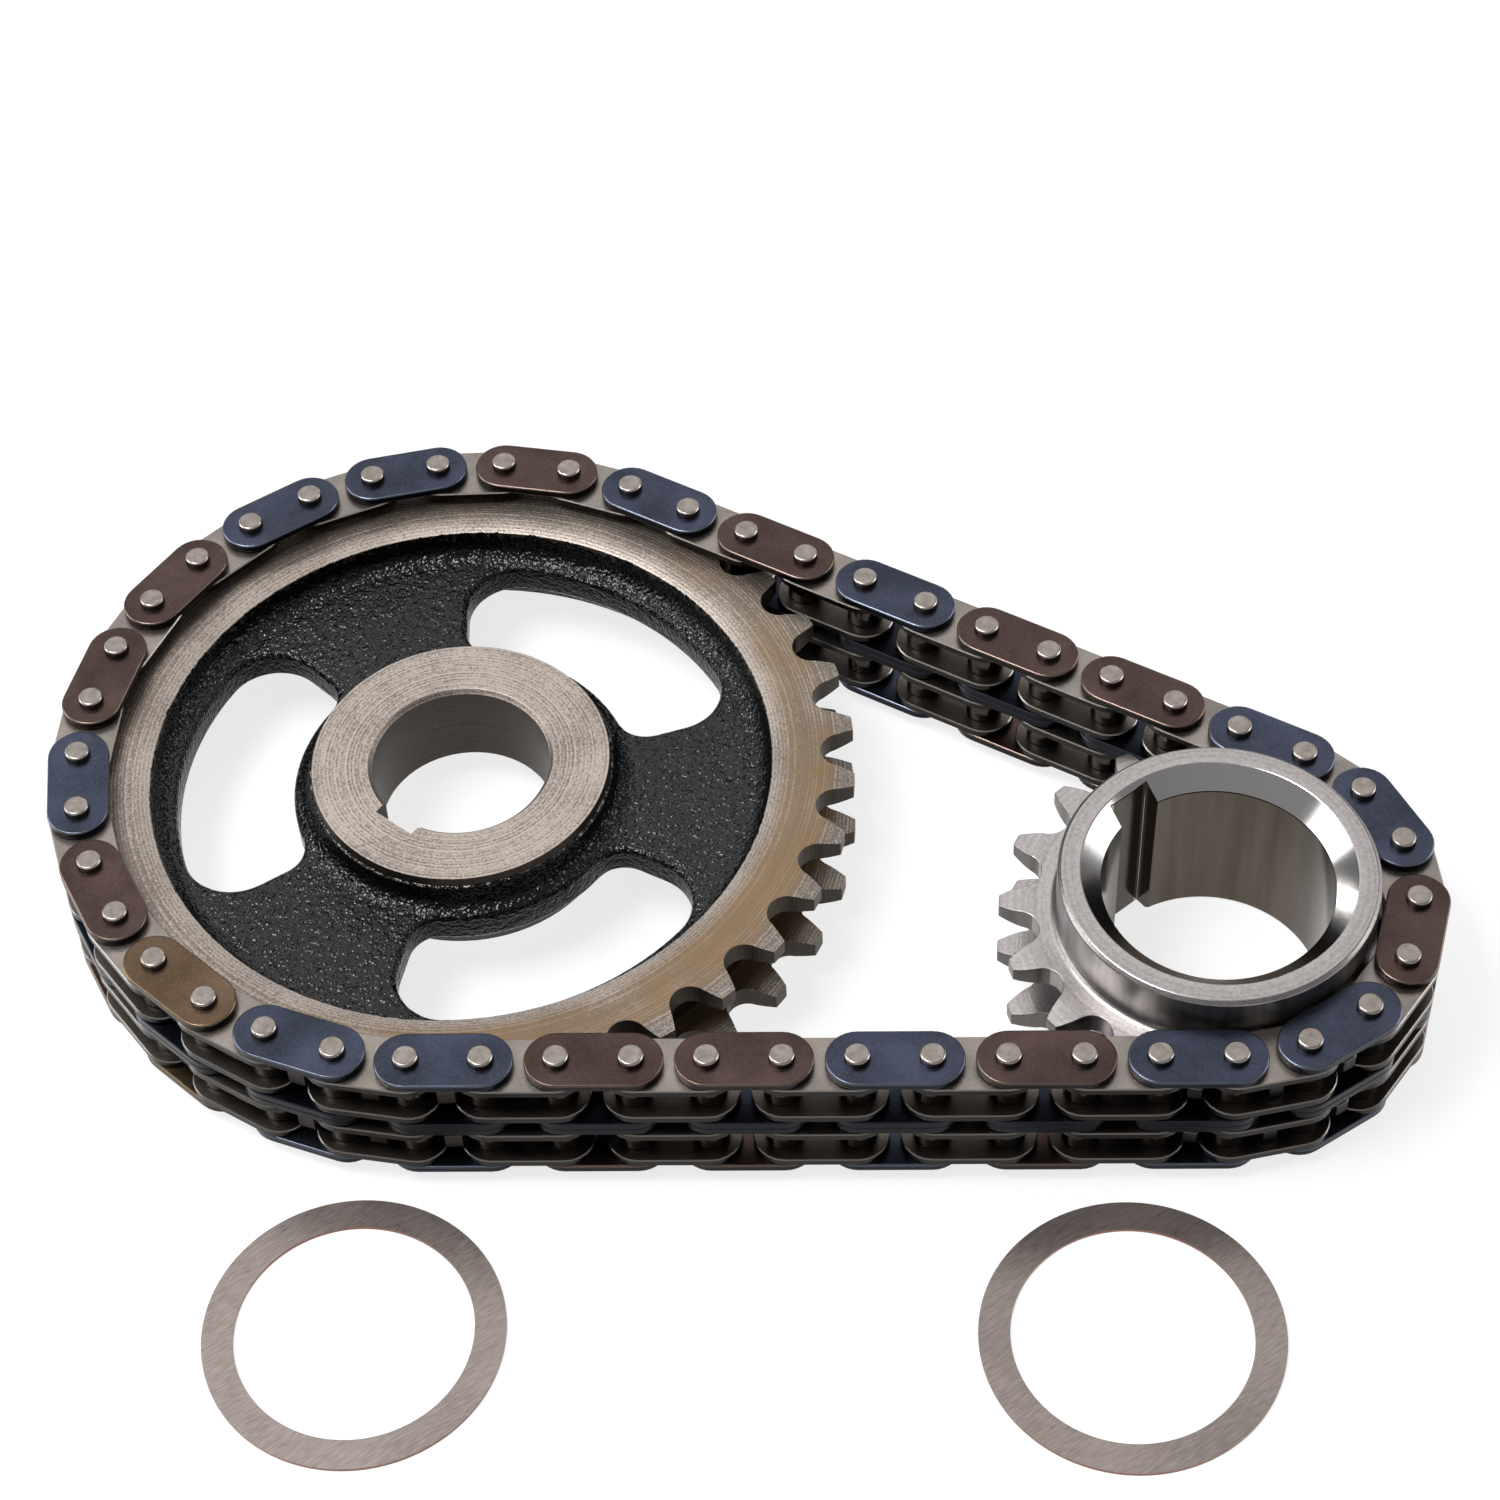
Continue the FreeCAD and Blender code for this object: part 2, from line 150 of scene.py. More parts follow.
# Each group of links: its body, its outer links, and the first pins of its inner links
groups = {
    "cam_wrap": ("cam_drive", [21, 22, 23, 0, 1, 2, 3, 4, 5], range(firstCamPin, lastCamPin, 2)),
    "top_cam_link": ("top_cam_link", [6], ()),
    "top_span": ("top_span", [7, 8, 9, 10], range(firstTopPin + 1, firstCrankPin - 1, 2)),
    "top_crank_link": ("top_crank_link", [11], ()),
    "crank_wrap": ("crank_drive", [12, 13, 14], range(firstCrankPin, firstBottomPin, 2)),
    "bottom_crank_link": ("bottom_crank_link", [15], ()),
    "bottom_span": ("bottom_span", [16, 17, 18, 19], range(firstBottomPin + 1, firstCamPin - 1, 2)),
    "bottom_cam_link": ("bottom_cam_link", [20], ()),
}
brownLinks = (1, 2, 5, 7, 9, 10, 13, 16, 18, 19, 23)
bronzeLinks = (22,)


def linkPlace(first):    # from the origin along +X to pin `first` along its link
    start = pins[first % len(pins)]
    along = pins[(first + 1) % len(pins)] - start
    return Matrix.Translation(start * mm) @ Matrix.Rotation(atan2(along.y, along.x), 4, "Z")


def pinPlace(index):
    return Matrix.Translation(pins[index % len(pins)] * mm)


# Degrees between faces past which an edge is rounded or shades sharp, and below which they become one
angles = {"shadesSharp": 50, "plateCorner": 60, "turnedCorner": 30, "sprocketCorner": 32, "oneFace": 0.5}
merge = {"plate": 0.001, "turned": 0.001, "sprocket": 0.002}    # millimetres


def breakEdges(bm, edges, width, steps):    # rounds the edges and keeps the faces beside them flat
    rounded = set(bmesh.ops.bevel(bm, geom=edges, offset=width, offset_type="OFFSET", segments=steps,
                                  profile=0.5, affect="EDGES", clamp_overlap=True, material=-1)["faces"])
    for face in bm.faces:
        face.smooth = True
    for edge in bm.edges:
        borders = len(rounded.intersection(edge.link_faces)) == 1
        edge.smooth = not borders and edge.calc_face_angle(0) < radians(angles["shadesSharp"])


def shapeFrom(bm, name):
    bmesh.ops.recalc_face_normals(bm, faces=bm.faces)
    bmesh.ops.scale(bm, vec=(mm, mm, mm), verts=bm.verts)
    mesh = bpy.data.meshes.new(name)
    bm.to_mesh(mesh)
    bm.free()
    return mesh


def vertsOf(made):    # the vertices among what an operator made
    return [v for v in made["geom"] if isinstance(v, bmesh.types.BMVert)]


def linkPlate(plate, bottom):
    # stadium with two holes: a ring squared off at mid-link, a copy of it turned over, both thickened
    bm = bmesh.new()
    half = chain["pitch"] / 2
    reach = plate["endR"]
    grow = reach / plate["holeR"]
    near = 0.01    # how close to the axis, or to 45 degrees, a point counts as on it
    bmesh.ops.create_circle(bm, radius=plate["holeR"], segments=plate["segments"])
    rim = vertsOf(bmesh.ops.extrude_edge_only(bm, edges=bm.edges[:]))
    bmesh.ops.scale(bm, vec=(grow, grow, 1), verts=rim)
    for vert in rim:
        if vert.co.x < near:
            continue
        slope = abs(vert.co.y) / vert.co.x
        side = 1 if vert.co.y > 0 else -1
        if slope > 1 + near:
            vert.co = (reach / slope, side * reach, 0)
        elif slope > 1 - near:
            vert.co = (half, side * reach, 0)
        else:
            vert.co.y *= half / vert.co.x
            vert.co.x = half
    other = vertsOf(bmesh.ops.duplicate(bm, geom=bm.faces[:] + bm.edges[:] + bm.verts[:]))
    bmesh.ops.rotate(bm, verts=other, cent=(half, 0, 0), matrix=Matrix.Rotation(pi, 3, "Z"))
    bmesh.ops.remove_doubles(bm, verts=bm.verts, dist=merge["plate"])
    raised = vertsOf(bmesh.ops.extrude_face_region(bm, geom=bm.faces[:]))
    bmesh.ops.translate(bm, vec=(0, 0, plate["thick"]), verts=raised)
    bmesh.ops.recalc_face_normals(bm, faces=bm.faces)
    outside = []
    for edge in bm.edges:
        middle = ((edge.verts[0].co + edge.verts[1].co) / 2).xy
        fromPin = min(middle.length, (middle - Vector((2 * half, 0))).length)
        square = edge.calc_face_angle(0) > radians(angles["plateCorner"])
        if square and fromPin > plate["holeR"] + plate["edge"]:
            outside.append(edge)
    breakEdges(bm, outside, plate["edge"], plate["edgeSteps"])
    bmesh.ops.translate(bm, vec=(0, 0, bottom), verts=bm.verts)
    return shapeFrom(bm, "plate")


def turned(name, profile, corner, steps, closed=False):
    # (radius, height) points spun round Z, their corners rounded
    bm = bmesh.new()
    points = [bm.verts.new((radius, 0, height)) for radius, height in profile]
    last = len(points) if closed else len(points) - 1
    for index in range(last):
        bm.edges.new((points[index], points[(index + 1) % len(points)]))
    bmesh.ops.spin(bm, geom=bm.verts[:] + bm.edges[:], cent=(0, 0, 0), axis=(0, 0, 1), dvec=(0, 0, 0),
                   angle=2 * pi, steps=steps, use_merge=True)
    bmesh.ops.remove_doubles(bm, verts=bm.verts, dist=merge["turned"])
    bmesh.ops.recalc_face_normals(bm, faces=bm.faces)
    corners = [e for e in bm.edges if e.calc_face_angle(0) > radians(angles["turnedCorner"])]
    breakEdges(bm, corners, corner, 2)
    return shapeFrom(bm, name)


def addPiece(name, bm, body, material, node):    # a finished shape that stands in for a CAD node
    mesh = bpy.data.meshes.new(name)
    bm.to_mesh(mesh)
    bm.free()
    if "custom_normal" in mesh.attributes:    # the CAD's own normals don't fit the broken edges
        mesh.attributes.remove(mesh.attributes["custom_normal"])
    mesh.materials.clear()
    mesh.materials.append(material)
    piece = bpy.data.objects.new(name, mesh)
    bpy.context.scene.collection.objects.link(piece)
    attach(piece, body)
    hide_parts(node)


def layOut(name, body, material, shapes, places, node):    # one piece from copies of the shapes
    bm = bmesh.new()
    for where in places:
        for shape in shapes:
            count = len(bm.verts)
            bm.from_mesh(shape)
            bm.verts.ensure_lookup_table()
            bmesh.ops.transform(bm, matrix=where, verts=bm.verts[count:])
    addPiece(name, bm, body, material, node)


# What every plate finish shares. Levelness runs from 0 on an upright face to 1 on a level one
plateSteel = {
    "tints": (0.36, 0.64),              # where the dark and the light tint lie in the noise
    "shadedSideLevel": 0.2, "highlightLevel": 0.5,      # levelness of the side in painted shade and of the corner in painted highlight
    "corner": 0.8, "face": 0.97,        # levelness at which the corner starts and the face is whole
    "brushTurn": 50,                    # degrees
    "streakPerMm": 3.0, "streakStretch": 0.15,
    "shadeFrom": 5.0, "shadeTo": 7.0, "shadeCover": 0.3,    # painted shade under the top plates, in millimetres above the middle of the chain
    "roughSpread": 0.06, "relief": 0.04,
}


def temperedSteel(name, look):
    # punched spring steel, tumbled and heated until its oxide film colours: satin faces with a fine
    # grain, uneven in hue, corners brightened with a painted highlight, and upright sides darkened with
    # painted shade, with upright streaks
    steel = plateSteel
    material, tree, shader = newMaterial(name)
    place = millimetres(tree)
    cloud = add(tree, "TexNoise", {"Vector": place, "Scale": 1 / look["patch"], "Detail": 3.0}).outputs["Fac"]
    brushed = add(tree, "Mapping", {"Vector": place, "Rotation": (0, 0, radians(steel["brushTurn"])),
                                    "Scale": (look.get("scratch", 1.0), 1.0, 1.0)},
                  vector_type="TEXTURE").outputs[0]
    grain = add(tree, "TexNoise", {"Vector": brushed, "Scale": 1 / look["grain"], "Detail": 3.0})
    grain = grain.outputs["Fac"]
    both = add(tree, "Mix", {"Factor": look.get("grainShow", 0.35), 2: cloud, 3: grain}).outputs[0]
    dark, light = steel["tints"]
    face = add(tree, "ValToRGB", {"Fac": both},
               [(dark, hexColour(look["dark"])), (light, hexColour(look["light"]))]).outputs[0]
    level = levelness(tree)
    # upright sides get painted shade and the rounded corners a painted highlight
    corner = add(tree, "ValToRGB", {"Fac": level}, [(steel["shadedSideLevel"], hexColour(look["side"])),
                                                    (steel["highlightLevel"], hexColour(look["cornerHighlight"]))]).outputs[0]
    side = add(tree, "MapRange", {"Value": level, "From Min": steel["corner"], "From Max": steel["face"],
                                  "To Min": 1.0, "To Max": 0.0}).outputs[0]
    long = add(tree, "Mapping", {"Vector": place, "Scale": (1.0, 1.0, steel["streakStretch"])}).outputs[0]
    streak = add(tree, "TexNoise", {"Vector": long, "Scale": steel["streakPerMm"], "Detail": 2.0})
    streak = streak.outputs["Fac"]
    colour = add(tree, "Mix", {"Factor": side, 6: face, 7: corner}, data_type="RGBA").outputs[2]
    if "shadeBelow" in look:    # painted shade darkens everything under the top plates
        height = add(tree, "SeparateXYZ", {"Vector": place}).outputs[2]
        under = add(tree, "MapRange", {"Value": height, "From Min": steel["shadeFrom"],
                                       "From Max": steel["shadeTo"],
                                       "To Min": steel["shadeCover"], "To Max": 0.0}).outputs[0]
        colour = add(tree, "Mix", {"Factor": under, 6: colour, 7: hexColour(look["shadeBelow"])},
                     data_type="RGBA").outputs[2]
    tree.links.new(colour, shader.inputs["Base Color"])
    shader.inputs["Metallic"].default_value = look.get("metallic", 1.0)
    rough = add(tree, "MapRange", {"Value": grain, "To Min": look["roughness"] - steel["roughSpread"],
                                   "To Max": look["roughness"] + steel["roughSpread"]}).outputs[0]
    tree.links.new(rough, shader.inputs["Roughness"])
    relief = add(tree, "Mix", {"Factor": side, 2: grain, 3: streak}).outputs[0]
    bump = add(tree, "Bump", {"Height": relief, "Strength": look["bump"],
                              "Distance": steel["relief"] * mm}).outputs[0]
    tree.links.new(bump, shader.inputs["Normal"])
    return material


# Tints as a screen shows them. A patch is the size of a change in hue and a grain that of a scratch, in mm
finishes = {
    "blue": temperedSteel("heatBluedSteel", {
        "dark": "#2f333d", "light": "#444859", "cornerHighlight": "#6e7482", "side": "#12141c",
        "patch": 8, "grain": 0.35, "roughness": 0.32, "bump": 0.35}),
    # a darker copy of the blue finish, for the centre plates
    "navy": temperedSteel("darkBluedSteel", {
        "dark": "#1d2026", "light": "#2d303b", "cornerHighlight": "#3d414d", "side": "#0d0e13",
        "patch": 6, "grain": 0.35, "roughness": 0.3, "bump": 0.4}),
    "brown": temperedSteel("heatBrownedSteel", {
        "dark": "#3c302e", "light": "#52433f", "cornerHighlight": "#7c6b63", "side": "#191412",
        "patch": 8, "grain": 0.35, "roughness": 0.32, "bump": 0.35}),
    "bronze": temperedSteel("strawTemperedSteel", {
        "dark": "#4e3f31", "light": "#685545", "cornerHighlight": "#8a775f", "side": "#1c1811",
        "patch": 8, "grain": 0.35, "roughness": 0.32, "bump": 0.35}),
    # the grey plates carry painted shade under the top plates
    "grey": temperedSteel("satinPlateSteel", {
        "dark": "#746d68", "light": "#8e8680", "cornerHighlight": "#b5ada6", "side": "#1f1c1a",
        "patch": 5, "grain": 0.3, "roughness": 0.32, "bump": 0.4, "shadeBelow": "#2e2a27"}),
    "pin": temperedSteel("tumbledPinSteel", {
        "dark": "#77706b", "light": "#958c86", "cornerHighlight": "#b9b1ab", "side": "#6a635d",
        "patch": 1.2, "grain": 0.25, "roughness": 0.3, "bump": 0.4}),
    "roller": temperedSteel("groundRollerSteel", {
        "dark": "#4b4540", "light": "#5f5751", "cornerHighlight": "#6a625b", "side": "#3a342f",
        "patch": 4, "grain": 0.3, "roughness": 0.13, "bump": 0.08}),
    "bush": temperedSteel("hardenedBushSteel", {
        "dark": "#46403b", "light": "#59524c", "cornerHighlight": "#655d56", "side": "#2c2824",
        "patch": 3, "grain": 0.3, "roughness": 0.3, "bump": 0.15}),
}

outerPlate = {"endR": 4.125, "holeR": 1.7, "thick": 1.25, "edge": 0.22, "edgeSteps": 2, "segments": 32,
              "face": 10.0}
centrePlate = {"endR": 4.125, "holeR": 1.7, "thick": 1.25, "edge": 0.14, "edgeSteps": 1, "segments": 24}
innerPlate = {"endR": 4.125, "holeR": 2.16, "thick": 1.2, "edge": 0.15, "edgeSteps": 1, "segments": 24,
              "gap": 2.35}
pin = {"radius": 1.65, "half": 11.05, "chamfer": 0.2, "round": 0.06, "steps": 28}
roller = {"radius": 2.54, "boreR": 2.2, "half": 2.25, "round": 0.1, "steps": 24}

outerShapes = [linkPlate(outerPlate, outerPlate["face"] - outerPlate["thick"]),
               linkPlate(outerPlate, -outerPlate["face"])]
centreShapes = [linkPlate(centrePlate, 0), linkPlate(centrePlate, -centrePlate["thick"])]
innerShapes = []
for z in chain["strands"]:
    innerShapes.append(linkPlate(innerPlate, z + innerPlate["gap"]))
    innerShapes.append(linkPlate(innerPlate, z - innerPlate["gap"] - innerPlate["thick"]))
pinTip = pin["radius"] - pin["chamfer"]
pinSide = pin["half"] - pin["chamfer"]
pinShape = turned("pin", [(0, -pin["half"]), (pinTip, -pin["half"]), (pin["radius"], -pinSide),
                          (pin["radius"], pinSide), (pinTip, pin["half"]), (0, pin["half"])],
                  pin["round"], pin["steps"])
rollerShapes = []
for z in chain["strands"]:
    low, high = z - roller["half"], z + roller["half"]
    rollerShapes.append(turned("roller", [(roller["boreR"], low), (roller["radius"], low),
                                          (roller["radius"], high), (roller["boreR"], high)],
                               roller["round"], roller["steps"], closed=True))

for group, (body, outer, inner) in groups.items():
    byFinish = {}
    for link in outer:
        finish = "brown" if link in brownLinks else "bronze" if link in bronzeLinks else "blue"
        byFinish.setdefault(finish, []).append(linkPlace(2 * link))
    for finish, places in byFinish.items():
        node = group + "_outer_plates"
        if not group.endswith("_link"):
            node += "_" + finish
        layOut(node + ".bevelled", body, finishes[finish], outerShapes, places, node)
    links = [linkPlace(2 * link) for link in outer]
    ends = [pinPlace(2 * link + end) for link in outer for end in (0, 1)]
    layOut(group + "_centre_plates.bevelled", body, finishes["navy"], centreShapes, links,
           group + "_centre_plates")
    layOut(group + "_pins.rounded", body, finishes["pin"], [pinShape], ends, group + "_pins")
    if inner:
        seats = [pinPlace(first + end) for first in inner for end in (0, 1)]
        layOut(group + "_inner_plates.bevelled", body, finishes["grey"], innerShapes,
               [linkPlace(first) for first in inner], group + "_inner_plates")
        layOut(group + "_rollers.rounded", body, finishes["roller"], rollerShapes, seats,
               group + "_rollers")
        frame["nodes"][group + "_bushes"].material_slots[0].material = finishes["bush"]
print("chain built")


def edgesBroken(node, name, body, material, width):    # the CAD's sprocket with its edges broken
    bm = bmesh.new()
    bm.from_mesh(frame["nodes"][node].data)
    bmesh.ops.remove_doubles(bm, verts=bm.verts, dist=merge["sprocket"] * mm)
    bmesh.ops.dissolve_limit(bm, angle_limit=radians(angles["oneFace"]), verts=bm.verts,
                             edges=bm.edges, delimit={"NORMAL"})
    corners = [e for e in bm.edges if e.calc_face_angle(0) > radians(angles["sprocketCorner"])]
    breakEdges(bm, corners, width * mm, 2)
    print(name, len(bm.faces), "faces")
    addPiece(name, bm, body, material, node)


# Lengths in millimetres, tones and covers as shares, and pattern scales in cells per millimetre
cam = {
    "drop": -0.575, "edge": 0.08, "boreR": 14.5, "hubR": 20.75, "lipZ": 5.72,
    "iron": "#aba097", "ironDark": "#6e665f", "ironTones": (0.4, 0.56), "unlit": "#2f2822",
    "unlitCover": 0.9, "turning": 0.5, "turningShow": 0.035, "turningRelief": 0.12,
    "paint": "#040405", "paintR": 42.35, "paintWander": 0.22, "dullWidth": 4, "dull": 0.07,
    "stain": "#7d6342", "stainR": 47.5, "stainHalf": (2.2, 4.6), "stainCover": (0.3, 0.82),
    "stainSide": (0.94, -0.34, 0), "stainFarCover": 0.15, "stainGrain": (0.45, 1.1),
    "paintRough": 0.15, "ironRough": 0.42, "metallic": 0.85, "wallShine": 0.12, "faceShine": 0.35,
    "lumpHeight": 9.0, "sandHeight": -3.5, "relief": 0.04,
    "perMm": {"ragged": 0.9, "rings": 2.0, "speck": 3.5, "patch": 0.1, "blotch": 0.06, "lumps": 1.0,
              "sand": 2.0},
}


def paintedCasting(name, look):
    # grey iron casting: machined rim, teeth and hub faces with turning marks, the rest in rough glossy
    # black paint
    material, tree, shader = newMaterial(name)
    perMm = look["perMm"]
    place, flat, radius, height = roundAxis(tree, (0, 0, look["drop"]))
    height = add(tree, "Math", {0: height}, operation="ABSOLUTE").outputs[0]
    ragged = add(tree, "TexNoise", {"Vector": place, "Scale": perMm["ragged"], "Detail": 3.0}).outputs["Fac"]
    ragged = add(tree, "MapRange", {"Value": ragged, "From Min": 0.3, "From Max": 0.7,
                                    "To Min": -look["paintWander"], "To Max": look["paintWander"]}).outputs[0]
    loose = add(tree, "Math", {0: radius, 1: ragged}, operation="ADD").outputs[0]
    tall = add(tree, "Math", {0: height, 1: ragged}, operation="ADD").outputs[0]
    onRim = add(tree, "Math", {0: loose, 1: look["paintR"]}, operation="GREATER_THAN").outputs[0]
    nearHub = add(tree, "Math", {0: radius, 1: look["hubR"]}, operation="LESS_THAN").outputs[0]
    onLip = add(tree, "Math", {0: tall, 1: look["lipZ"]}, operation="GREATER_THAN").outputs[0]
    onHub = add(tree, "Math", {0: nearHub, 1: onLip}, operation="MULTIPLY").outputs[0]
    inBore = add(tree, "Math", {0: radius, 1: look["boreR"]}, operation="LESS_THAN").outputs[0]
    bare = add(tree, "Math", {0: onRim, 1: onHub}, operation="MAXIMUM").outputs[0]
    bare = add(tree, "Math", {0: bare, 1: inBore}, operation="MAXIMUM").outputs[0]
    # turning marks change only with the radius, drawn at 0.5 mm because the real feed is finer
    wave = add(tree, "Math", {0: radius, 1: 2 * pi / look["turning"]}, operation="MULTIPLY").outputs[0]
    wave = add(tree, "Math", {0: wave}, operation="SINE").outputs[0]
    ringPlace = add(tree, "CombineXYZ", {"X": radius, "Y": height}).outputs[0]
    rings = add(tree, "TexNoise", {"Vector": ringPlace, "Scale": perMm["rings"],
                                   "Detail": 3.0}).outputs["Fac"]
    speck = add(tree, "TexNoise", {"Vector": place, "Scale": perMm["speck"], "Detail": 2.0}).outputs["Fac"]
    patch = add(tree, "TexNoise", {"Vector": place, "Scale": perMm["patch"], "Detail": 4.0}).outputs["Fac"]
    tone = add(tree, "Mix", {"Factor": 0.5, 2: rings, 3: speck}).outputs[0]
    tone = add(tree, "Mix", {"Factor": 0.2, 2: tone, 3: patch}).outputs[0]
    tone = add(tree, "Math", {0: wave, 1: look["turningShow"], 2: tone}, operation="MULTIPLY_ADD").outputs[0]
    dull = add(tree, "MapRange", {"Value": radius, "From Min": look["paintR"],
                                  "From Max": look["paintR"] + look["dullWidth"],
                                  "To Min": 0.0, "To Max": look["dull"]}).outputs[0]
    tone = add(tree, "Math", {0: tone, 1: dull}, operation="SUBTRACT").outputs[0]
    dark, light = look["ironTones"]
    metal = add(tree, "ValToRGB", {"Fac": tone},
                [(dark, hexColour(look["ironDark"])), (light, hexColour(look["iron"]))]).outputs[0]
    # a tan stain in blotches round the rim, strongest on one side
    blotch = add(tree, "TexNoise", {"Vector": place, "Scale": perMm["blotch"], "Detail": 5.0,
                                    "Roughness": 0.6}).outputs["Fac"]
    least, most = look["stainCover"]
    stained = add(tree, "MapRange", {"Value": blotch, "From Min": 0.4, "From Max": 0.57,
                                     "To Min": least, "To Max": most}).outputs[0]
    offStain = add(tree, "Math", {0: radius, 1: look["stainR"]}, operation="SUBTRACT").outputs[0]
    offStain = add(tree, "Math", {0: offStain}, operation="ABSOLUTE").outputs[0]
    whole, gone = look["stainHalf"]
    nearStain = add(tree, "MapRange", {"Value": offStain, "From Min": whole, "From Max": gone,
                                       "To Min": 1.0, "To Max": 0.0}).outputs[0]
    stained = add(tree, "Math", {0: stained, 1: nearStain}, operation="MULTIPLY").outputs[0]
    toward = add(tree, "VectorMath", {0: flat}, operation="NORMALIZE").outputs[0]
    toward = add(tree, "VectorMath", {0: toward, 1: look["stainSide"]}, operation="DOT_PRODUCT")
    toward = add(tree, "MapRange", {"Value": toward.outputs["Value"], "From Min": -0.1, "From Max": 0.6,
                                    "To Min": look["stainFarCover"], "To Max": 1.0}).outputs[0]
    stained = add(tree, "Math", {0: stained, 1: toward}, operation="MULTIPLY").outputs[0]
    least, most = look["stainGrain"]
    grained = add(tree, "MapRange", {"Value": speck, "From Min": 0.35, "From Max": 0.6,
                                     "To Min": least, "To Max": most}).outputs[0]
    stained = add(tree, "Math", {0: stained, 1: grained}, operation="MULTIPLY").outputs[0]
    metal = add(tree, "Mix", {"Factor": stained, 6: metal, 7: hexColour(look["stain"])},
                data_type="RGBA").outputs[2]
    level = levelness(tree)
    shaded = add(tree, "MapRange", {"Value": level, "From Min": 0.3, "From Max": 0.6,
                                    "To Min": look["unlitCover"], "To Max": 0.0}).outputs[0]
    metal = add(tree, "Mix", {"Factor": shaded, 6: metal, 7: hexColour(look["unlit"])},
                data_type="RGBA").outputs[2]
    colour = add(tree, "Mix", {"Factor": bare, 6: hexColour(look["paint"]), 7: metal},
                 data_type="RGBA").outputs[2]
    lumps = add(tree, "TexNoise", {"Vector": place, "Scale": perMm["lumps"], "Detail": 2.0}).outputs["Fac"]
    sand = add(tree, "TexVoronoi", {"Vector": place, "Scale": perMm["sand"]}).outputs["Distance"]
    cast = add(tree, "Math", {0: lumps, 1: look["lumpHeight"]}, operation="MULTIPLY").outputs[0]
    cast = add(tree, "Math", {0: sand, 1: look["sandHeight"], 2: cast}, operation="MULTIPLY_ADD").outputs[0]
    turnedMarks = add(tree, "Math", {0: wave, 1: look["turningRelief"], 2: speck},
                      operation="MULTIPLY_ADD").outputs[0]
    rough = add(tree, "Mix", {"Factor": bare, 2: look["paintRough"], 3: look["ironRough"]}).outputs[0]
    metallic = add(tree, "Math", {0: bare, 1: look["metallic"]}, operation="MULTIPLY").outputs[0]
    relief = add(tree, "Mix", {"Factor": bare, 2: cast, 3: turnedMarks}).outputs[0]
    bump = add(tree, "Bump", {"Height": relief, "Strength": 1.0, "Distance": look["relief"] * mm}).outputs[0]
    shine = add(tree, "MapRange", {"Value": level, "From Min": 0.2, "From Max": 0.6,
                                   "To Min": look["wallShine"], "To Max": look["faceShine"]}).outputs[0]
    tree.links.new(colour, shader.inputs["Base Color"])
    tree.links.new(metallic, shader.inputs["Metallic"])
    tree.links.new(shine, shader.inputs["Specular IOR Level"])
    tree.links.new(rough, shader.inputs["Roughness"])
    tree.links.new(bump, shader.inputs["Normal"])
    return material


crank = {
    "edge": 0.1, "coneR": 18.0, "toothR": 24.0,
    "bright": "#c6c4c3", "matt": "#aba5a5", "mattDark": "#8c8786", "mattTones": (0.35, 0.62),
    "walls": ((40.0, "#5d5853", 0.8), (24.0, "#a5a2a1", 1.0), (17.4, "#453b31", 1.0),
              (15.3, "#5e554b", 0.95)),    # painted shade on upright faces within a radius: colour and cover, widest first
    "streak": "#2a2622", "streakCover": 0.45, "streakStretch": 0.06,
    "shadedTooth": "#1c1916", "shadeCover": 0.92, "shadeSide": (-0.15, 0.05),    # painted shade on the teeth in the chain; share of the radius along +X
    "mattRough": 0.33, "coneRough": 0.16, "bump": 0.2, "relief": 0.02,
    "perMm": {"rings": 3.0, "speck": 2.5, "streak": 0.5},
}


